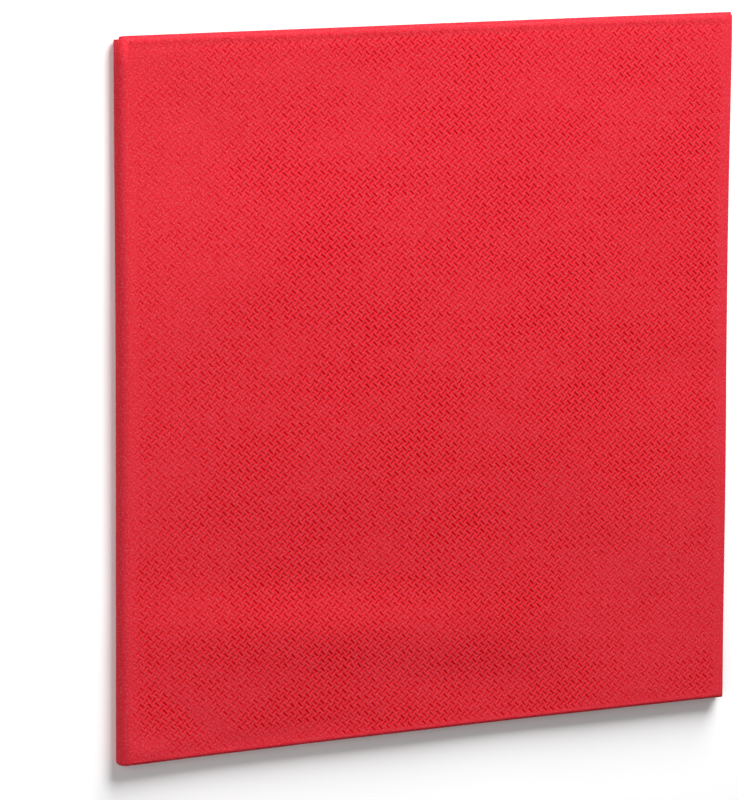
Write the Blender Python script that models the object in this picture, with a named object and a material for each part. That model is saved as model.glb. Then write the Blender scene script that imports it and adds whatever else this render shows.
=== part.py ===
"""A square dinner napkin of soft embossed paper, folded twice into a quarter and lying flat.

It is one closed solid, made as the real one is: a square sheet is folded in half, and then in half
again across the first fold. The four leaves lie over each other, a little apart. The first fold
runs along the front, at -Y, and the second fold is the spine on the left, at -X. The cut edges are
open at the right and at the back.

Metres, +Z up. The origin is under the middle of the folded napkin, on the surface it lies on.
Run it with blender --background --python part.py, or from Blender's text editor.
"""

from collections import namedtuple
from math import cos, exp, pi, radians, sin

import bpy

# Driving sizes, in metres.
SIDE = 0.200  # the folded napkin, from fold to cut edge, both ways
PAPER = 0.0010  # thickness of one leaf
GAP = 0.0003  # air between two leaves

# Sizes that follow from them.
PITCH = PAPER + GAP
HALF = SIDE / 2
FIRST_RADIUS = PITCH / 2  # a leaf's middle round the first fold, which makes the pair of leaves
SECOND_RADIUS = PITCH  # the pair's middle round the second fold
SKIN = FIRST_RADIUS + PAPER / 2  # from the pair's middle to its outside
HALF_HEIGHT = SECOND_RADIUS + SKIN
FRONT_Y = -HALF + SKIN  # where the first fold starts to turn
SPINE_X = -HALF + HALF_HEIGHT  # where the second one does

# The folds aren't quite straight: the middle of each lies this far inside its ends.
FRONT_BOW = 0.0004
SPINE_BOW = 0.0003

# How finely the sheet is divided.
LEAF_CELLS = 16
FIRST_FOLD_CELLS = 8
SECOND_FOLD_CELLS = 8
CROWDING = 0.4  # 0 spaces a leaf's cells evenly, and 1 crowds them at its two ends

RED = (0.672, 0.032, 0.048, 1.0)
ROUGHNESS = 0.92

# The four leaves, and how far the cut edges of each stop short of the longest ones.
Leaf = namedtuple("Leaf", "half layer short_right short_back")
LEAVES = (
    Leaf(half="lower", layer="outer", short_right=0.0006, short_back=0.0011),
    Leaf(half="lower", layer="inner", short_right=0.0000, short_back=0.0004),
    Leaf(half="upper", layer="inner", short_right=0.0009, short_back=0.0000),
    Leaf(half="upper", layer="outer", short_right=0.0016, short_back=0.0007),
)

# Soft rises and hollows of the stack: centre, length, width, the length's turn from +X in degrees,
# and how far the top leaf rises there. The leaves below share it, down to none at the bottom.
Swell = namedtuple("Swell", "name x y length width turn rise")
SWELLS = (
    Swell("along the spine", -0.098, 0.000, 0.300, 0.026, 90, 0.00035),
    Swell("along the front fold", 0.000, -0.098, 0.300, 0.024, 0, 0.00030),
    Swell("double-folded corner", -0.096, -0.096, 0.050, 0.034, 45, 0.00045),
    Swell("open corner", 0.100, 0.100, 0.110, 0.070, -45, 0.00075),
    Swell("right cut edge", 0.100, -0.030, 0.090, 0.040, 90, 0.00030),
    Swell("back left trough", -0.050, 0.074, 0.120, 0.034, 8, -0.00040),
    Swell("back left ridge", -0.060, 0.032, 0.100, 0.040, 8, 0.00050),
    Swell("middle rise", 0.022, 0.010, 0.120, 0.060, 20, 0.00035),
    Swell("front left trough", -0.044, -0.046, 0.110, 0.038, -6, -0.00042),
    Swell("front right trough", 0.052, -0.056, 0.070, 0.028, -32, -0.00030),
    Swell("front left ridge", -0.036, -0.069, 0.120, 0.020, -4, 0.00060),
    Swell("front left rise", -0.058, -0.082, 0.100, 0.034, -4, 0.00040),
    Swell("front middle trough", 0.018, -0.092, 0.056, 0.020, -8, -0.00030),
    Swell("right trough", 0.076, 0.016, 0.060, 0.036, 80, -0.00030),
)


def clear_scene():
    for old in list(bpy.data.objects):
        bpy.data.objects.remove(old, do_unlink=True)


def stations(fold_cells):
    """Grid lines across one fold, each as (run, turn).

    run goes from 1 at a cut edge to 0 where the fold starts, and turn goes round the fold, from
    -90 to +90 degrees.
    """
    even = [i / LEAF_CELLS for i in range(1, LEAF_CELLS + 1)]
    runs = [t - CROWDING * sin(2 * pi * t) / (2 * pi) for t in even]
    first_leaf = [(run, -pi / 2) for run in reversed(runs)]
    fold = [(0.0, pi * (i / fold_cells - 0.5)) for i in range(fold_cells + 1)]
    second_leaf = [(run, pi / 2) for run in runs]
    return first_leaf + fold + second_leaf


def share(is_this, amount):
    return amount if is_this else 1 - amount


def blended(column, upper, outer):
    """A column of LEAVES at a point that is this far up in the stack and out in its pair."""
    return sum(
        getattr(leaf, column) * share(leaf.half == "upper", upper) * share(leaf.layer == "outer", outer)
        for leaf in LEAVES
    )


def bow(depth, place):
    """How far inwards an edge lies at this place along it."""
    return depth * (1 - (place / HALF) ** 2)


def swell(x, y):
    """Height that the rises and hollows add to the top leaf at this place."""
    height = 0.0
    for s in SWELLS:
        turn = radians(s.turn)
        along = ((x - s.x) * cos(turn) + (y - s.y) * sin(turn)) / (s.length / 2)
        across = ((y - s.y) * cos(turn) - (x - s.x) * sin(turn)) / (s.width / 2)
        height += s.rise * exp(-(along**2) - across**2)
    return height


def folded_point(across_spine, across_front):
    """The outside of the sheet at one crossing of the grid lines, once folded both ways."""
    run_x, turn_x = across_spine
    run_y, turn_y = across_front
    upper = (1 + sin(turn_x)) / 2
    outer = (1 + sin(turn_y)) / 2

    # Round the spine a point of the outer leaf travels on a larger circle than one of the inner.
    radius = SECOND_RADIUS + SKIN * sin(turn_y)
    cut_x = HALF - blended("short_right", upper, outer)
    cut_y = HALF - blended("short_back", upper, outer)
    x = SPINE_X - radius * cos(turn_x) + run_x * (cut_x - SPINE_X)
    y = FRONT_Y - SKIN * cos(turn_y) + run_y * (cut_y - FRONT_Y)

    # The bows fade out towards the cut edges, which stay straight.
    bowed_x = x + (1 - run_x) * bow(SPINE_BOW, y)
    bowed_y = y + (1 - run_y) * bow(FRONT_BOW, x)

    # A swell lifts a whole leaf by its share, from none at the bottom leaf to all at the top one,
    # so that the bottom stays flat and no leaf gets thicker.
    middle = SECOND_RADIUS + FIRST_RADIUS * sin(turn_y)
    lift_share = (1 + middle * sin(turn_x) / (SECOND_RADIUS + FIRST_RADIUS)) / 2
    z = HALF_HEIGHT + radius * sin(turn_x) + lift_share * swell(bowed_x, bowed_y)
    return bowed_x, bowed_y, z


def folded_sheet():
    """The outside of the whole sheet as a mesh of four-sided faces."""
    columns = stations(SECOND_FOLD_CELLS)
    rows = stations(FIRST_FOLD_CELLS)
    points = [folded_point(column, row) for row in rows for column in columns]
    width = len(columns)
    faces = [
        (j * width + i, j * width + i + 1, (j + 1) * width + i + 1, (j + 1) * width + i)
        for j in range(len(rows) - 1)
        for i in range(width - 1)
    ]
    mesh = bpy.data.meshes.new("folded_sheet")
    mesh.from_pydata(points, [], faces)
    mesh.shade_smooth()
    return mesh


def red_paper():
    material = bpy.data.materials.new("red_paper")
    material.use_nodes = True
    shader = material.node_tree.nodes["Principled BSDF"]
    shader.inputs["Base Color"].default_value = RED
    shader.inputs["Roughness"].default_value = ROUGHNESS
    shader.inputs["Metallic"].default_value = 0.0
    return material


def make_napkin():
    mesh = folded_sheet()
    mesh.materials.append(red_paper())
    napkin = bpy.data.objects.new("napkin", mesh)
    bpy.context.scene.collection.objects.link(napkin)
    thickness = napkin.modifiers.new("paper", "SOLIDIFY")
    thickness.thickness = PAPER
    thickness.offset = -1.0  # inwards from the outside, whose lowest leaf lies exactly flat
    thickness.use_even_offset = True
    thickness.use_rim = True
    return napkin


def main():
    clear_scene()
    make_napkin()


if __name__ == "__main__":
    main()
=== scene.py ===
"""The looks of a folded paper napkin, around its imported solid.

A square sheet of soft embossed paper is folded in half and in half again, and lies on a pale table.
The sheet is modelled flat, with its pressed pattern as real relief on the leaf that lies on top, and
then every point is folded to its place. Metres, +Z up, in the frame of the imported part: the first
fold runs along the front, at -Y, and the second one is the spine, at -X.
"""

from collections import namedtuple
from math import pi, radians, sqrt

import bpy
import numpy as np
from bpy.props import FloatProperty, FloatVectorProperty, IntProperty, PointerProperty
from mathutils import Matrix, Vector
from mathutils.geometry import delaunay_2d_cdt


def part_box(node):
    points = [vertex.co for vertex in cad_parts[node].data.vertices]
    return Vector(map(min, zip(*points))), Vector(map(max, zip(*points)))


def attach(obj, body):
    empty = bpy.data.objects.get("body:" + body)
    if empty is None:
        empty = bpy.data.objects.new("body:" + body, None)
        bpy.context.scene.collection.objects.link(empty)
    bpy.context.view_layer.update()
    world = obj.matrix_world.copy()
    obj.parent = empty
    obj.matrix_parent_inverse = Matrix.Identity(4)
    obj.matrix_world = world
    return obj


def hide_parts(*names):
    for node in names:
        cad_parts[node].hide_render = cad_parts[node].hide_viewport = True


bl_info = {
    "name": "Folded Paper Napkin",
    "version": (1, 0, 0),
    "blender": (4, 5, 0),
    "location": "View3D > Sidebar > Napkin",
    "description": "Builds an embossed paper napkin, folded in four, with its table and light",
    "category": "Object",
}

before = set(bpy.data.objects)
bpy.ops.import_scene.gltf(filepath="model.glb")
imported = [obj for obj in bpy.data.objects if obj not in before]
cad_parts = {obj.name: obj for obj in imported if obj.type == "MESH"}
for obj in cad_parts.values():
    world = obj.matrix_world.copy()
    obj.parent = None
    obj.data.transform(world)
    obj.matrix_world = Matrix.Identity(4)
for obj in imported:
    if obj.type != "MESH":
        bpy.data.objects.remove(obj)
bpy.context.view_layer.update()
NAPKIN_LOW, NAPKIN_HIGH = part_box("napkin")

# Sizes of the folded napkin, in metres, as its solid has them.
SIDE = NAPKIN_HIGH.x - NAPKIN_LOW.x
STACK = 0.0049  # height of the four leaves where nothing lifts them
HALF = SIDE / 2
FRONT_BOW = 0.0004  # how far the middle of each fold lies inside its ends
SPINE_BOW = 0.0003

HALF_SHEET = 0.200  # the flat sheet, from its middle to a cut edge
ARC_CELLS = 12  # divisions round a fold
SAME_PLACE = 1e-6  # two places of the flat sheet that are nearer than this are one
SLOPE_STEP = 2e-5  # how far to either side the paper's slope is taken

# Four leaves, and how far the cut edges of each stop short of the longest ones.
Leaf = namedtuple("Leaf", "half layer short_right short_back")
LEAVES = (
    Leaf(half="lower", layer="outer", short_right=0.0006, short_back=0.0011),
    Leaf(half="lower", layer="inner", short_right=0.0000, short_back=0.0004),
    Leaf(half="upper", layer="inner", short_right=0.0009, short_back=0.0000),
    Leaf(half="upper", layer="outer", short_right=0.0016, short_back=0.0007),
)

# Soft rises and hollows of the whole stack: centre, length, width, the length's turn from +X in
# degrees, and how far the top leaf rises there. The leaves below share it, down to none.
Swell = namedtuple("Swell", "name x y length width turn rise")
SWELLS = (
    Swell("along the spine", -0.098, 0.000, 0.300, 0.026, 90, 0.00035),
    Swell("along the front fold", 0.000, -0.098, 0.300, 0.024, 0, 0.00030),
    Swell("double-folded corner", -0.096, -0.096, 0.050, 0.034, 45, 0.00045),
    Swell("open corner", 0.100, 0.100, 0.110, 0.070, -45, 0.00075),
    Swell("right cut edge", 0.100, -0.030, 0.090, 0.040, 90, 0.00030),
    Swell("back left trough", -0.050, 0.074, 0.120, 0.034, 8, -0.00040),
    Swell("back left ridge", -0.060, 0.032, 0.100, 0.040, 8, 0.00050),
    Swell("middle rise", 0.022, 0.010, 0.120, 0.060, 20, 0.00035),
    Swell("front left trough", -0.044, -0.046, 0.110, 0.038, -6, -0.00042),
    Swell("front right trough", 0.052, -0.056, 0.070, 0.028, -32, -0.00030),
    Swell("front left ridge", -0.036, -0.069, 0.120, 0.020, -4, 0.00060),
    Swell("front left rise", -0.058, -0.082, 0.100, 0.034, -4, 0.00040),
    Swell("front middle trough", 0.018, -0.092, 0.056, 0.020, -8, -0.00030),
    Swell("right trough", 0.076, 0.016, 0.060, 0.036, 80, -0.00030),
)

# Finer unevenness of the top leaf alone, in the same columns.
CREASES = (
    Swell("dip inside the back edge", 0.000, 0.0972, 0.420, 0.0022, 0, -0.00012),
    Swell("dip inside the spine", -0.0935, 0.010, 0.340, 0.006, 90, -0.00010),
    Swell("front corner bulge", -0.0925, -0.0965, 0.012, 0.005, 2, 0.00022),
    Swell("front corner crease", -0.076, -0.090, 0.040, 0.007, -36, -0.00016),
    Swell("front edge crease", -0.044, -0.0955, 0.050, 0.005, 3, -0.00014),
    Swell("front ridge crest", -0.040, -0.0665, 0.110, 0.014, -5, 0.00018),
    Swell("front ridge foot", -0.044, -0.0540, 0.100, 0.010, -6, -0.00010),
    Swell("front middle crease", 0.010, -0.0860, 0.050, 0.010, -4, -0.00015),
    Swell("back corner crease", -0.080, 0.080, 0.050, 0.012, -42, -0.00012),
    Swell("middle left crease", -0.030, 0.020, 0.070, 0.018, 64, -0.00010),
    Swell("middle right ridge", 0.050, -0.030, 0.080, 0.020, -52, 0.00012),
    Swell("right dent", 0.080, -0.004, 0.034, 0.017, 0, -0.00028),
    Swell("right front crease", 0.070, -0.070, 0.060, 0.016, 30, -0.00012),
    Swell("right back ridge", 0.062, 0.066, 0.060, 0.020, -20, 0.00012),
)

# Slow waves of the single leaves, which open and close the air between them: length, the way they
# run in degrees from +X, where they start in radians, and height.
Wave = namedtuple("Wave", "name length turn start rise")
WAVES = {
    ("lower", "inner"): (
        Wave("broad", 0.130, 35, 0.2, 0.00016),
        Wave("short", 0.047, -60, 2.1, 0.00007),
    ),
    ("upper", "inner"): (
        Wave("broad", 0.110, -48, 1.4, 0.00018),
        Wave("short", 0.052, 22, 0.6, 0.00007),
    ),
    ("upper", "outer"): (
        Wave("broad", 0.150, 70, 3.0, 0.00010),
        Wave("short", 0.061, -24, 4.2, 0.00005),
    ),
}

# Where handling has pressed the pattern flatter, and the share of its depth that is gone.
Pressed = namedtuple("Pressed", "name x y length width turn gone")
PRESSED = (
    Pressed("front left swath", -0.073, -0.0890, 0.030, 0.006, -38, 0.60),
    Pressed("front edge swath", -0.047, -0.0958, 0.042, 0.005, 4, 0.65),
    Pressed("double-folded corner", -0.092, -0.096, 0.022, 0.012, 0, 0.70),
    Pressed("back left corner", -0.096, 0.094, 0.020, 0.010, 40, 0.50),
    Pressed("right edge", 0.098, 0.000, 0.220, 0.006, 90, 0.35),
    Pressed("along the spine", -0.088, 0.044, 0.190, 0.056, 90, 0.45),
    Pressed("back left", -0.045, 0.085, 0.100, 0.040, 0, 0.30),
    Pressed("front right", 0.088, -0.068, 0.080, 0.070, 0, 0.45),
    Pressed("back right", 0.070, 0.080, 0.090, 0.070, 0, 0.22),
)

# Patches pressed a little more and less deep, all over the sheet. rise is the share of the depth.
PATCHES = (
    Wave("broad", 0.057, 28, 0.4, 0.10),
    Wave("middling", 0.031, -49, 1.9, 0.11),
    Wave("short", 0.019, 83, 3.1, 0.09),
)

# Where the pressed pattern starts, from a fold or a cut edge inwards, and where it is in full.
Fade = namedtuple("Fade", "starts full")
SPINE_FADE = Fade(0.0005, 0.0090)
FRONT_FADE = Fade(0.0015, 0.0026)
RIGHT_FADE = Fade(0.0012, 0.0050)
BACK_FADE = Fade(0.0014, 0.0024)

# The grooves of each repeat: how far along it, both ways, their middle lies, and which way they lean.
Groove = namedtuple("Groove", "place lean")
GROOVES = (
    Groove(place=0.0, lean=-1),
    Groove(place=0.5, lean=1),
)

# How far a groove strays where the unevenness is 1: by a share of its depth, by a share of the
# repeat, and by a turn in radians.
DEPTH_STRAY = 1.4
PLACE_STRAY = 0.10
LEAN_STRAY = 0.2
STRAY_SEED = 7
EDGE_LAND = 0.00015  # flat paper between the grooves and the edge of their leaf

# A groove has six places: the four corners of its rim, and the two ends of its bottom line. These
# are the share of the depth at each, and the edges between them.
PLACE_DEPTHS = (0, 0, 0, 0, 1, 1)
RIM_EDGES = ((0, 1), (1, 2), (2, 3), (3, 0))
BOTTOM_EDGES = ((4, 5), (0, 4), (3, 4), (1, 5), (2, 5))

RELIEF_BUMP = 0.35  # share of the bump pattern that stays where the grooves are real
FACES_APART = 0.01  # between the paper's two faces in its fibres and clouds, so that they differ

# Profile of a cut edge from one face to the other, three plies thick: out from the leaf, and the
# share of the thickness from its middle.
Ply = namedtuple("Ply", "out up")
PLY_EDGE = (
    Ply(0.00006, 0.40),
    Ply(0.00010, 0.29),
    Ply(0.00002, 0.17),
    Ply(0.00010, 0.00),
    Ply(0.00002, -0.17),
    Ply(0.00010, -0.29),
    Ply(0.00006, -0.40),
)

# The stage. A light's place is in metres, and it faces the middle of the napkin.
Light = namedtuple("Light", "name place size")
KEY_LIGHT = Light("key light", place=(0.24, 0.86, 0.53), size=0.70)
FILL_LIGHT = Light("fill light", place=(-0.80, 0.02, 0.85), size=0.90)
TABLE_REACH = 3.0
SURROUNDINGS = (1.0, 0.985, 0.985, 1.0)


class NapkinSheetSettings(bpy.types.PropertyGroup):
    paper: FloatProperty(
        name="Paper thickness",
        description="Thickness of one leaf, over the embossing",
        default=0.00065,
        min=0.0002,
        max=0.001,
        precision=5,
        subtype="DISTANCE",
        unit="LENGTH",
    )
    repeat: FloatVectorProperty(
        name="Pattern repeat",
        description="Sides of the piece in which the pressed pattern repeats",
        default=(0.00239, 0.00233),
        min=0.001,
        max=0.006,
        size=2,
        precision=5,
        subtype="XYZ_LENGTH",
        unit="LENGTH",
    )
    groove_depth: FloatProperty(
        name="Groove depth",
        description="Depth of a pressed groove",
        default=0.00017,
        min=0.0,
        max=0.0005,
        precision=5,
        subtype="DISTANCE",
        unit="LENGTH",
    )
    groove_length: FloatProperty(
        name="Groove length",
        description="Length of a groove, as a share of the repeat",
        default=0.88,
        min=0.3,
        max=0.9,
        subtype="FACTOR",
    )
    groove_width: FloatProperty(
        name="Groove width",
        description="Width of a groove from rim to rim, as a share of the repeat",
        default=0.37,
        min=0.1,
        max=0.4,
        subtype="FACTOR",
    )
    uneven: FloatProperty(
        name="Unevenness",
        description="How far single grooves stray from the full depth, their place and their lean",
        default=0.25,
        min=0.0,
        max=0.5,
        subtype="FACTOR",
    )
    leaf_cells: IntProperty(
        name="Leaf divisions",
        description="Divisions along a leaf that carries no relief",
        default=28,
        min=8,
        max=60,
    )
    edge_cells: IntProperty(
        name="Edge divisions",
        description="Divisions along the cut edge of a leaf",
        default=60,
        min=20,
        max=120,
    )
    red: FloatVectorProperty(
        name="Paper red",
        description="Colour of the dyed paper",
        default=(0.555, 0.0135, 0.0265),
        min=0.0,
        max=1.0,
        subtype="COLOR",
    )


class NapkinStageSettings(bpy.types.PropertyGroup):
    camera_place: FloatVectorProperty(
        name="Camera place",
        description="Where the camera stands",
        default=(-0.7883, 0.2119, 1.3068),
        precision=4,
        subtype="TRANSLATION",
        unit="LENGTH",
    )
    camera_turn: FloatVectorProperty(
        name="Camera turn",
        description="How the camera is turned",
        default=(radians(-8.243), radians(-30.468), radians(0.223)),
        precision=4,
        subtype="EULER",
    )
    lens: FloatProperty(
        name="Lens",
        description="Focal length, in millimetres on a 36 mm frame",
        default=246.6,
        min=20.0,
        max=400.0,
    )
    table: FloatVectorProperty(
        name="Table",
        description="Colour of the table top",
        default=(0.975, 0.97, 0.97),
        min=0.0,
        max=1.0,
        subtype="COLOR",
    )
    key_power: FloatProperty(
        name="Key light",
        description="Power of the soft light at the back",
        default=22.7,
        min=0.0,
        unit="POWER",
    )
    fill_power: FloatProperty(
        name="Fill light",
        description="Power of the broad light at the left",
        default=6.0,
        min=0.0,
        unit="POWER",
    )
    sky: FloatProperty(
        name="Surroundings",
        description="Brightness of the pale surroundings",
        default=0.09,
        min=0.0,
    )


# ---------------------------------------------------------------------------- folding the sheet


class Fold:
    """The folded napkin as a map from the flat sheet.

    u runs across the spine, from the right cut edges of the lower leaves to those of the upper ones,
    and v across the front fold, from the back cut edges of the inner leaves to those of the outer
    ones. Both are 0 in the middle of the sheet.
    """

    def __init__(self, paper):
        self.paper = paper
        pitch = (STACK - paper) / 3
        self.first_radius = pitch / 2  # a leaf's middle round the first fold
        self.second_radius = pitch  # the middle of a pair of leaves round the second one
        self.skin = self.first_radius + paper / 2  # from the pair's middle to its outside
        self.half_height = self.second_radius + self.skin
        self.front_y = -HALF + self.skin
        self.spine_x = -HALF + self.half_height
        self.spine_arc = pi * (self.second_radius + self.first_radius)
        self.front_arc = pi * self.first_radius

    def middle(self, u, v):
        """The middle of the paper at places (u, v) of the flat sheet."""
        run_x, turn_x = along_fold(u, self.spine_arc)
        run_y, turn_y = along_fold(v, self.front_arc)
        upper = (1 + np.sin(turn_x)) / 2
        outer = (1 + np.sin(turn_y)) / 2

        # Round the spine a point of the outer leaf travels on a larger circle than one of the inner.
        radius = self.second_radius + self.first_radius * np.sin(turn_y)
        cut_x = HALF - blended("short_right", upper, outer)
        cut_y = HALF - blended("short_back", upper, outer)
        x = self.spine_x - radius * np.cos(turn_x) + run_x * (cut_x - self.spine_x)
        y = self.front_y - self.first_radius * np.cos(turn_y) + run_y * (cut_y - self.front_y)

        # The bows fade out towards the cut edges, which stay straight.
        bowed_x = x + (1 - run_x) * bow(SPINE_BOW, y)
        bowed_y = y + (1 - run_y) * bow(FRONT_BOW, x)

        # The bottom leaf lies flat. The others rise by their share, and wave a little.
        share = (1 + radius * np.sin(turn_x) / (self.second_radius + self.first_radius)) / 2
        lift = share * rises(SWELLS, bowed_x, bowed_y)
        lift += upper * outer * rises(CREASES, bowed_x, bowed_y)
        lift += leaf_waves(bowed_x, bowed_y, upper, outer)
        z = self.half_height + radius * np.sin(turn_x) + lift
        return np.stack((bowed_x, bowed_y, z), axis=-1)

    def surface(self, u, v, side):
        """Points on one face of the paper, and the way that face looks at each.

        side is +1 for the face that ends up outside, and -1 for the other one.
        """
        across = self.middle(u + SLOPE_STEP, v) - self.middle(u - SLOPE_STEP, v)
        along = self.middle(u, v + SLOPE_STEP) - self.middle(u, v - SLOPE_STEP)
        normal = np.cross(across, along)
        normal *= side / np.linalg.norm(normal, axis=1, keepdims=True)
        return self.middle(u, v) + normal * self.paper / 2, normal


def along_fold(place, arc):
    """How far along its leaf a place lies, and how far round the fold.

    The first goes from 0 at the fold to 1 at the cut edge, and the second from -90 to +90 degrees.
    place is measured from the middle of the fold.
    """
    turn = np.clip(place / arc, -0.5, 0.5) * pi
    run = np.clip((np.abs(place) - arc / 2) / (HALF_SHEET - arc / 2), 0, None)
    return run, turn


def share_of(is_this, amount):
    """amount for a leaf on this side, and the rest of it for one on the other side."""
    return amount if is_this else 1 - amount


def belongs(half, layer, upper, outer):
    """How far a point that is this far up in the stack, and out in its pair, is of this leaf."""
    return share_of(half == "upper", upper) * share_of(layer == "outer", outer)


def blended(column, upper, outer):
    """A column of LEAVES at a point that is this far up in the stack, and out in its pair."""
    return sum(getattr(leaf, column) * belongs(leaf.half, leaf.layer, upper, outer) for leaf in LEAVES)


def bow(depth, place):
    """How far inwards an edge lies at this place along it."""
    return depth * (1 - (place / HALF) ** 2)


def soft_patch(patch, x, y):
    """1 in the middle of a long soft patch, and falling to 0 round it."""
    turn = radians(patch.turn)
    along = ((x - patch.x) * np.cos(turn) + (y - patch.y) * np.sin(turn)) / (patch.length / 2)
    across = ((y - patch.y) * np.cos(turn) - (x - patch.x) * np.sin(turn)) / (patch.width / 2)
    return np.exp(-(along**2) - across**2)


def rises(table, x, y):
    """Height that a table of rises and hollows adds at this place."""
    return sum(swell.rise * soft_patch(swell, x, y) for swell in table)


def sum_of(waves, x, y):
    """Waves that run straight across the sheet, one on top of the other."""
    total = 0.0
    for wave in waves:
        turn = radians(wave.turn)
        way = (x * np.cos(turn) + y * np.sin(turn)) / wave.length
        total = total + wave.rise * np.sin(2 * pi * way + wave.start)
    return total


def leaf_waves(x, y, upper, outer):
    """Height that each leaf's own waves add."""
    return sum(
        belongs(half, layer, upper, outer) * sum_of(waves, x, y)
        for (half, layer), waves in WAVES.items()
    )


def ramp(start, end, value):
    """0 below start, 1 above end, and a smooth rise between them."""
    t = np.clip((value - start) / (end - start), 0, 1)
    return t * t * (3 - 2 * t)


def pattern_share(fold, u, v):
    """The share of its full depth that the pressed pattern has at places of the flat sheet."""
    share = ramp(*SPINE_FADE, np.abs(u)) * ramp(*FRONT_FADE, np.abs(v))
    share *= ramp(*RIGHT_FADE, HALF_SHEET - np.abs(u)) * ramp(*BACK_FADE, HALF_SHEET - np.abs(v))
    share *= 1 + sum_of(PATCHES, u, v)
    place = fold.middle(u, v)
    top_leaf = (u > 0) & (v > 0)
    for patch in PRESSED:
        share *= 1 - top_leaf * patch.gone * soft_patch(patch, place[:, 0], place[:, 1])
    return share


# ------------------------------------------------------------------------------ laying it out flat


def stations(arc, leaf_cells):
    """Places across one fold, from one cut edge to the other."""
    round_fold = arc * (np.arange(ARC_CELLS + 1) / ARC_CELLS - 0.5)
    leaf = np.linspace(arc / 2, HALF_SHEET, leaf_cells + 1)[1:]
    return np.concatenate((-leaf[::-1], round_fold, leaf))


def edge_loop(fold, cells):
    """Points round the cut edge of the flat sheet, anticlockwise from its lowest u and v."""
    across = stations(fold.spine_arc, cells)[:-1]
    along = stations(fold.front_arc, cells)[:-1]
    first_side = np.stack((across, np.full_like(across, -HALF_SHEET)), axis=-1)
    second_side = np.stack((np.full_like(along, HALF_SHEET), along), axis=-1)
    return np.concatenate((first_side, second_side, -first_side, -second_side))


def inner_grid(fold, cells):
    """Points of a plain grid inside the cut edge."""
    across = stations(fold.spine_arc, cells)[1:-1]
    along = stations(fold.front_arc, cells)[1:-1]
    return np.stack([axis.ravel() for axis in np.meshgrid(across, along)], axis=-1)


class Embossing:
    """The pressed pattern of the leaf that lies on top, as points and edges on the flat sheet.

    It looks like a parquet floor. One short groove leans left at each corner of the repeat, and one
    leans right in its middle. No two are quite alike.
    """

    def __init__(self, fold, settings):
        self.start = np.array((fold.spine_arc / 2, fold.front_arc / 2))
        self.points = np.empty((0, 2))
        self.depths = np.empty(0)
        self.rims = []
        self.creases = []
        repeat = np.array(settings.repeat)
        x = settings.groove_length / 2
        y = settings.groove_width / 2
        bottom = x - y
        shape = np.array(((x, y), (-x, y), (-x, -y), (x, -y), (bottom, 0), (-bottom, 0)))
        margin = (x + y) * sqrt(0.5) * repeat + EDGE_LAND
        count = int(HALF_SHEET / repeat.min()) + 1
        lattice = np.indices((count, count)).reshape(2, -1).T
        draws = np.random.default_rng(STRAY_SEED)
        for groove in GROOVES:
            centres = (lattice + groove.place) * repeat
            inside = (centres > self.start + margin) & (centres < HALF_SHEET - margin)
            centres = centres[inside.all(axis=1)]
            stray = settings.uneven * draws.uniform(-1, 1, (4, len(centres)))
            full_depth = pattern_share(fold, centres[:, 0], centres[:, 1])
            depth = full_depth * (1 + DEPTH_STRAY * stray[0])
            centres += PLACE_STRAY * stray[1:3].T * repeat
            turn = radians(45) * groove.lean + LEAN_STRAY * stray[3]
            along = np.stack((np.cos(turn), np.sin(turn)), axis=-1)
            across = np.stack((-along[:, 1], along[:, 0]), axis=-1)
            places = shape[:, 0, None] * along[:, None] + shape[:, 1, None] * across[:, None]
            self.add(centres[:, None] + places * repeat, depth)

    def add(self, places, depth):
        """Adds grooves, with the six places of each and its share of the full depth."""
        first = len(self.points) + len(PLACE_DEPTHS) * np.arange(len(places))
        self.points = np.concatenate((self.points, places.reshape(-1, 2)))
        levels = depth[:, None] * np.array(PLACE_DEPTHS)
        self.depths = np.concatenate((self.depths, levels.ravel()))
        for i, j in RIM_EDGES:
            self.rims += pairs(first + i, first + j)
        for i, j in BOTTOM_EDGES:
            self.creases += pairs(first + i, first + j)


def pairs(first, second):
    """Edges from each of the first points to the second one of the same rank."""
    return list(zip(first.tolist(), second.tolist()))


def triangles(points, edges):
    """Triangles between flat points, as rows of three indices, keeping the given edges."""
    vectors = [Vector(point) for point in points]
    every_triangle = 0
    tolerance = 1e-8
    made = delaunay_2d_cdt(vectors, edges, [], every_triangle, tolerance)
    made_points, _, made_faces, origins, _, _ = made
    if len(made_points) != len(points):
        raise ValueError("the grooves are too long, too wide or too uneven, and cross each other")
    came_from = [origin[0] for origin in origins]
    return np.array([[came_from[i] for i in face] for face in made_faces])


def border(points, start):
    """Edges along the two grid lines where the grooves begin, between neighbouring points."""
    made = []
    for line, other in ((0, 1), (1, 0)):
        on_line = np.abs(points[:, line] - start[line]) < SAME_PLACE
        chosen = np.flatnonzero(on_line & (points[:, other] > start[other] - SAME_PLACE))
        ordered = chosen[np.argsort(points[chosen, other])]
        made += pairs(ordered[:-1], ordered[1:])
    return made


def outer_face(fold, edge, embossing, cells):
    """Flat points of the face that ends up outside, its triangles, and the creases of the grooves.

    It is a plain grid, but for the top leaf, which has the grooves in the grid's place. The cut edge
    comes first and the grooves come last.
    """
    grid = inner_grid(fold, cells)
    plain = grid[(grid < embossing.start + SAME_PLACE).any(axis=1)]
    framed = np.concatenate((edge, plain))
    points = np.concatenate((framed, embossing.points))
    rims = np.array(embossing.rims) + len(framed)
    creases = np.array(embossing.creases) + len(framed)
    kept = rims.tolist() + creases.tolist() + border(framed, embossing.start)
    return points, triangles(points, kept), creases


def inner_face(fold, edge, cells):
    """Flat points of the face that ends up inside, and its triangles, which look the other way.

    It shows only where a leaf lifts, and is a plain grid.
    """
    points = np.concatenate((edge, inner_grid(fold, cells)))
    return points, triangles(points, [])[:, ::-1]


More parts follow.
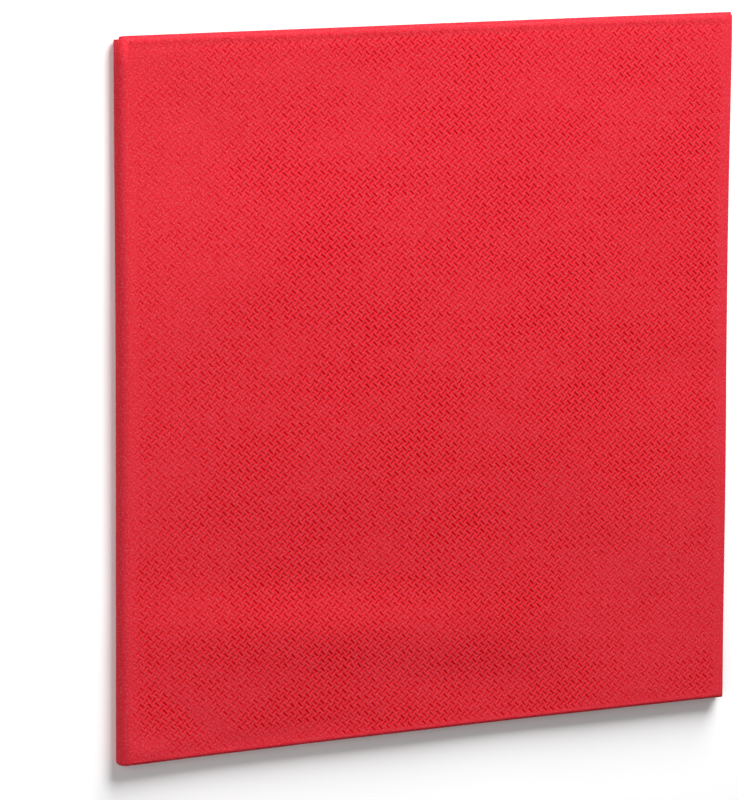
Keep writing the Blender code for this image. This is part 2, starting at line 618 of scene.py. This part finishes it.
def ply_rows(fold, edge, normal):
    """Points round the cut edge, a row for each place of its profile."""
    middle = fold.middle(edge[:, 0], edge[:, 1])
    along = np.roll(middle, -1, axis=0) - np.roll(middle, 1, axis=0)
    outward = np.cross(along, normal)
    outward /= np.linalg.norm(outward, axis=1, keepdims=True)
    return [middle + outward * ply.out + normal * ply.up * fold.paper for ply in PLY_EDGE]


def joined(rows, count):
    """Triangles between neighbouring rows that go all round, given by each row's first point."""
    here = np.arange(count)
    there = np.roll(here, -1)
    made = []
    for a, b in zip(rows, rows[1:]):
        made.append(np.stack((a + here, b + here, b + there), axis=-1))
        made.append(np.stack((a + here, b + there, a + there), axis=-1))
    return made


def sheet_mesh(settings):
    """The whole sheet, folded, as one closed mesh."""
    fold = Fold(settings.paper)
    edge = edge_loop(fold, settings.edge_cells)
    embossing = Embossing(fold, settings)
    outside, outside_faces, creases = outer_face(fold, edge, embossing, settings.leaf_cells)
    inner_cells = settings.leaf_cells * 2 // 3
    inside, inside_faces = inner_face(fold, edge, inner_cells)

    groove = np.zeros(len(outside))
    groove[-len(embossing.depths) :] = embossing.depths
    top, top_normal = fold.surface(outside[:, 0], outside[:, 1], +1)
    top -= top_normal * (groove * settings.groove_depth)[:, None]
    under, _ = fold.surface(inside[:, 0], inside[:, 1], -1)
    count = len(edge)
    plies = ply_rows(fold, edge, top_normal[:count])

    # Both faces begin with the cut edge, so the plies' rows lie between their first points.
    points = np.concatenate((top, under, *plies))
    under_start = len(top)
    plies_start = len(top) + len(under)
    rows = [0, *range(plies_start, len(points), count), under_start]
    faces = np.concatenate((outside_faces, inside_faces + under_start, *joined(rows, count)))

    mesh = bpy.data.meshes.new("napkin_sheet")
    mesh.from_pydata(points.tolist(), [], faces.tolist())
    mesh.shade_smooth()
    sharpen(mesh, creases)
    flat_places = (outside, inside, np.tile(edge, (len(plies), 1)))
    tell_finish(mesh, fold, embossing, groove, flat_places)
    return mesh


def tell_finish(mesh, fold, embossing, groove, flat_places):
    """Stores what the paper's finish needs to know of each point.

    groove is the share of the full depth at the points of the outer face. flat_places are those of
    the outer face, of the inner face and of the plies' rows.
    """
    flat = np.concatenate(flat_places)
    face_side = np.repeat((1.0, -1.0, 0.0), [len(part) for part in flat_places])
    printed = pattern_share(fold, flat[:, 0], flat[:, 1]) * face_side
    relief = (flat > embossing.start + SAME_PLACE).all(axis=1) & (face_side > 0)
    place = np.column_stack((flat, face_side * FACES_APART))
    depth = np.concatenate((groove, np.zeros(len(flat) - len(groove))))
    store(mesh, "flat_place", "FLOAT_VECTOR", "vector", place)
    store(mesh, "shallow_pattern", "FLOAT", "value", np.where(relief, RELIEF_BUMP, 1.0) * printed)
    store(mesh, "groove", "FLOAT", "value", depth)
    store(mesh, "cut_edge", "FLOAT", "value", face_side == 0)


def sharpen(mesh, creases):
    """Keeps these edges, given as rows of two points, sharp in the shading."""
    ends = np.empty(2 * len(mesh.edges), np.int32)
    mesh.edges.foreach_get("vertices", ends)
    numbering = (len(mesh.vertices), 1)  # gives each pair of points a number of its own
    every_edge = np.sort(ends.reshape(-1, 2), axis=1) @ numbering
    creased = np.sort(creases, axis=1) @ numbering
    sharp = mesh.attributes.new("sharp_edge", "BOOLEAN", "EDGE")
    sharp.data.foreach_set("value", np.isin(every_edge, creased))


def store(mesh, name, kind, field, values):
    """Gives each point of the mesh a value that its material can read."""
    attribute = mesh.attributes.new(name, kind, "POINT")
    attribute.data.foreach_set(field, np.asarray(values, np.float32).ravel())


# ------------------------------------------------------------------------------------- materials


class Nodes:
    """Short words for making a material's nodes."""

    def __init__(self, material):
        material.use_nodes = True
        self.tree = material.node_tree
        self.shader = self.tree.nodes["Principled BSDF"]

    def feed(self, socket, value):
        """Links another node's output to a socket, or sets a plain value there."""
        if isinstance(value, bpy.types.NodeSocket):
            self.tree.links.new(value, socket)
        else:
            socket.default_value = value

    def math(self, operation, a, b=0.0):
        made = self.tree.nodes.new("ShaderNodeMath")
        made.operation = operation
        self.feed(made.inputs[0], a)
        self.feed(made.inputs[1], b)
        return made.outputs[0]

    def vector(self, operation, a, b=None):
        made = self.tree.nodes.new("ShaderNodeVectorMath")
        made.operation = operation
        self.feed(made.inputs[0], a)
        if b is not None:
            self.feed(made.inputs[1], b)
        return made.outputs["Value" if operation == "DOT_PRODUCT" else "Vector"]

    def attribute(self, name, output="Fac"):
        made = self.tree.nodes.new("ShaderNodeAttribute")
        made.attribute_name = name
        return made.outputs[output]

    def noise(self, place, scale, detail=2.0, roughness=0.5):
        """Cloudy values from 0 to 1, with this many blots to the metre or so."""
        made = self.tree.nodes.new("ShaderNodeTexNoise")
        self.feed(made.inputs["Vector"], place)
        made.inputs["Scale"].default_value = scale
        made.inputs["Detail"].default_value = detail
        made.inputs["Roughness"].default_value = roughness
        return made.outputs["Fac"]

    def ramp(self, value, start, end, low=0.0, high=1.0):
        """low where the value is below start, high above end, and a smooth change between them."""
        made = self.tree.nodes.new("ShaderNodeMapRange")
        made.interpolation_type = "SMOOTHSTEP"
        for name, given in (
            ("Value", value),
            ("From Min", start),
            ("From Max", end),
            ("To Min", low),
            ("To Max", high),
        ):
            self.feed(made.inputs[name], given)
        return made.outputs["Result"]

    def mix(self, share, first, second):
        """The first colour, with this share of the second one in it."""
        made = self.tree.nodes.new("ShaderNodeMix")
        made.data_type = "RGBA"
        self.feed(made.inputs["Factor"], share)
        colours = [socket for socket in made.inputs if socket.type == "RGBA"]
        self.feed(colours[0], first)
        self.feed(colours[1], second)
        return next(socket for socket in made.outputs if socket.type == "RGBA")

    def bump(self, height, strength, distance, normal=None):
        made = self.tree.nodes.new("ShaderNodeBump")
        made.inputs["Strength"].default_value = strength
        made.inputs["Distance"].default_value = distance
        self.feed(made.inputs["Height"], height)
        if normal is not None:
            self.feed(made.inputs["Normal"], normal)
        return made.outputs["Normal"]


def tinted(colour, red=1.0, green=1.0, blue=1.0):
    """A colour with each of its parts made stronger or weaker."""
    parts = zip(colour, (red, green, blue))
    return (*[min(1.0, part * strength) for part, strength in parts], 1.0)


def groove_mask(nodes, place, groove, settings):
    """1 at the bottom of each groove of this kind, and 0 outside it. place is in repeats."""
    shift = 0.5 - groove.place
    cell = nodes.vector("ADD", place, (shift, shift, 0.0))
    cell = nodes.vector("SUBTRACT", nodes.vector("FRACTION", cell), (0.5, 0.5, 0.0))
    side = sqrt(0.5)
    along = nodes.vector("DOT_PRODUCT", cell, (side, groove.lean * side, 0.0))
    across = nodes.vector("DOT_PRODUCT", cell, (side, -groove.lean * side, 0.0))
    half_width = settings.groove_width / 2
    straight = settings.groove_length / 2 - half_width
    past = nodes.math("SUBTRACT", nodes.math("ABSOLUTE", along), straight)
    beyond = nodes.math("MAXIMUM", past, 0.0)
    squares = [nodes.math("MULTIPLY", way, way) for way in (beyond, across)]
    away = nodes.math("SQRT", nodes.math("ADD", *squares))
    return nodes.ramp(away, 0.0, half_width, low=1.0, high=0.0)


def embossed_paper(settings):
    """Soft dyed tissue: matt, flecked with paler fibres, cloudy, and deeper red in its grooves, partly
    for the pressed paper and partly as painted shade.
    """
    material = bpy.data.materials.new("embossed red paper")
    nodes = Nodes(material)
    flat = nodes.attribute("flat_place", "Vector")
    across, along = settings.repeat
    in_repeats = nodes.vector("MULTIPLY", flat, (1 / across, 1 / along, 1.0))
    masks = [groove_mask(nodes, in_repeats, groove, settings) for groove in GROOVES]
    pattern = nodes.math("MAXIMUM", *masks)
    shallow = nodes.attribute("shallow_pattern")
    pressed = nodes.math("MULTIPLY", pattern, shallow)

    # Fibres, finer one way than the other, the crumbs that they make, and clouds of them.
    stretched = nodes.vector("MULTIPLY", flat, (1.0, 0.45, 1.0))
    fibres = nodes.noise(stretched, scale=5200.0, detail=3.0, roughness=0.6)
    crumbs = nodes.noise(flat, scale=2000.0, roughness=0.6)
    clouds = nodes.noise(flat, scale=420.0, detail=3.0, roughness=0.55)
    blotches = nodes.noise(flat, scale=26.0)

    paper = tinted(settings.red)
    # A deeper red, for random blotches and for the painted shade in the grooves.
    deep_red_and_groove_shade = tinted(settings.red, red=0.95, green=0.02, blue=0.15)
    pale = tinted(settings.red, red=1.12, green=1.75, blue=1.65)
    fleck = tinted(settings.red, red=1.05, green=4.15, blue=2.7)
    tone = nodes.mix(nodes.ramp(clouds, 0.35, 0.70, high=0.40), paper, pale)
    tone = nodes.mix(nodes.ramp(crumbs, 0.45, 0.69, high=0.95), tone, fleck)
    tone = nodes.mix(nodes.ramp(blotches, 0.35, 0.65, high=0.05), tone, deep_red_and_groove_shade)
    in_groove = nodes.math("MAXIMUM", nodes.attribute("groove"), nodes.math("ABSOLUTE", pressed))
    # Painted shade: the grooves are coloured darker, partly for the pressed paper and partly for the
    # shade that falls in them.
    tone = nodes.mix(nodes.ramp(in_groove, 0.15, 0.80), tone, deep_red_and_groove_shade)
    tone = nodes.mix(nodes.math("MULTIPLY", nodes.attribute("cut_edge"), 0.35), tone, pale)
    nodes.feed(nodes.shader.inputs["Base Color"], tone)

    roughness = nodes.ramp(in_groove, 0.0, 1.0, low=0.70, high=0.64)
    nodes.feed(nodes.shader.inputs["Roughness"], roughness)
    nodes.shader.inputs["Specular IOR Level"].default_value = 0.08

    height = nodes.math("SUBTRACT", 1.0, pressed)
    relief = nodes.bump(height, strength=1.0, distance=settings.groove_depth)
    cloudy = nodes.bump(clouds, strength=0.5, distance=0.00006, normal=relief)
    crumbly = nodes.bump(crumbs, strength=0.6, distance=0.00006, normal=cloudy)
    fibrous = nodes.bump(fibres, strength=0.5, distance=0.00003, normal=crumbly)
    nodes.feed(nodes.shader.inputs["Normal"], fibrous)
    return material


def table_top(settings):
    """A pale, smooth top with a hardly visible haze."""
    material = bpy.data.materials.new("pale table top")
    nodes = Nodes(material)
    place = nodes.tree.nodes.new("ShaderNodeTexCoord").outputs["Object"]
    haze = nodes.noise(place, scale=3.0)
    light = tinted(settings.table)
    dark = tinted(settings.table, red=0.985, green=0.985, blue=0.985)
    nodes.feed(nodes.shader.inputs["Base Color"], nodes.mix(haze, light, dark))
    nodes.shader.inputs["Roughness"].default_value = 0.45
    return material


# ------------------------------------------------------------------------------------- operators


class NAPKIN_OT_folded_sheet(bpy.types.Operator):
    """Fold the embossed sheet of paper in four"""

    bl_idname = "napkin.folded_sheet"
    bl_label = "Folded Sheet"
    bl_options = {"REGISTER", "UNDO"}

    def execute(self, context):
        settings = context.scene.napkin_sheet
        sheet = bpy.data.objects.new("napkin_sheet", sheet_mesh(settings))
        sheet.data.materials.append(embossed_paper(settings))
        context.scene.collection.objects.link(sheet)
        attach(sheet, "root")
        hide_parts("napkin")
        return {"FINISHED"}


class NAPKIN_OT_stage(bpy.types.Operator):
    """Set up the table, the lights and the camera"""

    bl_idname = "napkin.stage"
    bl_label = "Table, Lights and Camera"
    bl_options = {"REGISTER", "UNDO"}

    def execute(self, context):
        settings = context.scene.napkin_stage
        make_table(context, settings)
        make_light(context, KEY_LIGHT, settings.key_power)
        make_light(context, FILL_LIGHT, settings.fill_power)
        make_surroundings(context, settings)
        make_camera(context, settings)
        context.scene.view_settings.view_transform = "Standard"
        return {"FINISHED"}


def make_table(context, settings):
    mesh = bpy.data.meshes.new("table")
    corners = [(x * TABLE_REACH, y * TABLE_REACH, 0) for x, y in ((-1, -1), (1, -1), (1, 1), (-1, 1))]
    mesh.from_pydata(corners, [], [(0, 1, 2, 3)])
    mesh.materials.append(table_top(settings))
    table = bpy.data.objects.new("table", mesh)
    context.scene.collection.objects.link(table)


def make_light(context, light, power):
    """A square soft light that faces the middle of the napkin."""
    data = bpy.data.lights.new(light.name, "AREA")
    data.shape = "SQUARE"
    data.size = light.size
    data.energy = power
    lamp = bpy.data.objects.new(light.name, data)
    lamp.location = light.place
    way = Vector((0.0, 0.0, STACK)) - Vector(light.place)
    lamp.rotation_euler = way.to_track_quat("-Z", "Y").to_euler()
    context.scene.collection.objects.link(lamp)


def make_surroundings(context, settings):
    world = bpy.data.worlds.new("pale surroundings")
    world.use_nodes = True
    background = world.node_tree.nodes["Background"]
    background.inputs["Color"].default_value = SURROUNDINGS
    background.inputs["Strength"].default_value = settings.sky
    context.scene.world = world


def make_camera(context, settings):
    data = bpy.data.cameras.new("camera")
    data.lens = settings.lens
    data.sensor_width = 36.0
    data.clip_start = 0.05
    camera = bpy.data.objects.new("camera", data)
    camera.location = settings.camera_place
    camera.rotation_euler = settings.camera_turn
    context.scene.collection.objects.link(camera)
    context.scene.camera = camera


class NAPKIN_PT_panel(bpy.types.Panel):
    """Lists what can be built"""

    bl_idname = "NAPKIN_PT_panel"
    bl_label = "Folded Paper Napkin"
    bl_space_type = "VIEW_3D"
    bl_region_type = "UI"
    bl_category = "Napkin"

    def draw(self, context):
        layout = self.layout
        for group, operator in (
            (context.scene.napkin_sheet, "napkin.folded_sheet"),
            (context.scene.napkin_stage, "napkin.stage"),
        ):
            box = layout.box()
            for name in group.__annotations__:
                box.prop(group, name)
            box.operator(operator)


CLASSES = (
    NapkinSheetSettings,
    NapkinStageSettings,
    NAPKIN_OT_folded_sheet,
    NAPKIN_OT_stage,
    NAPKIN_PT_panel,
)


def register():
    for cls in CLASSES:
        bpy.utils.register_class(cls)
    bpy.types.Scene.napkin_sheet = PointerProperty(type=NapkinSheetSettings)
    bpy.types.Scene.napkin_stage = PointerProperty(type=NapkinStageSettings)


def unregister():
    del bpy.types.Scene.napkin_stage
    del bpy.types.Scene.napkin_sheet
    for cls in reversed(CLASSES):
        bpy.utils.unregister_class(cls)


def main():
    register()
    bpy.ops.napkin.folded_sheet()
    bpy.ops.napkin.stage()


if __name__ == "__main__":
    main()
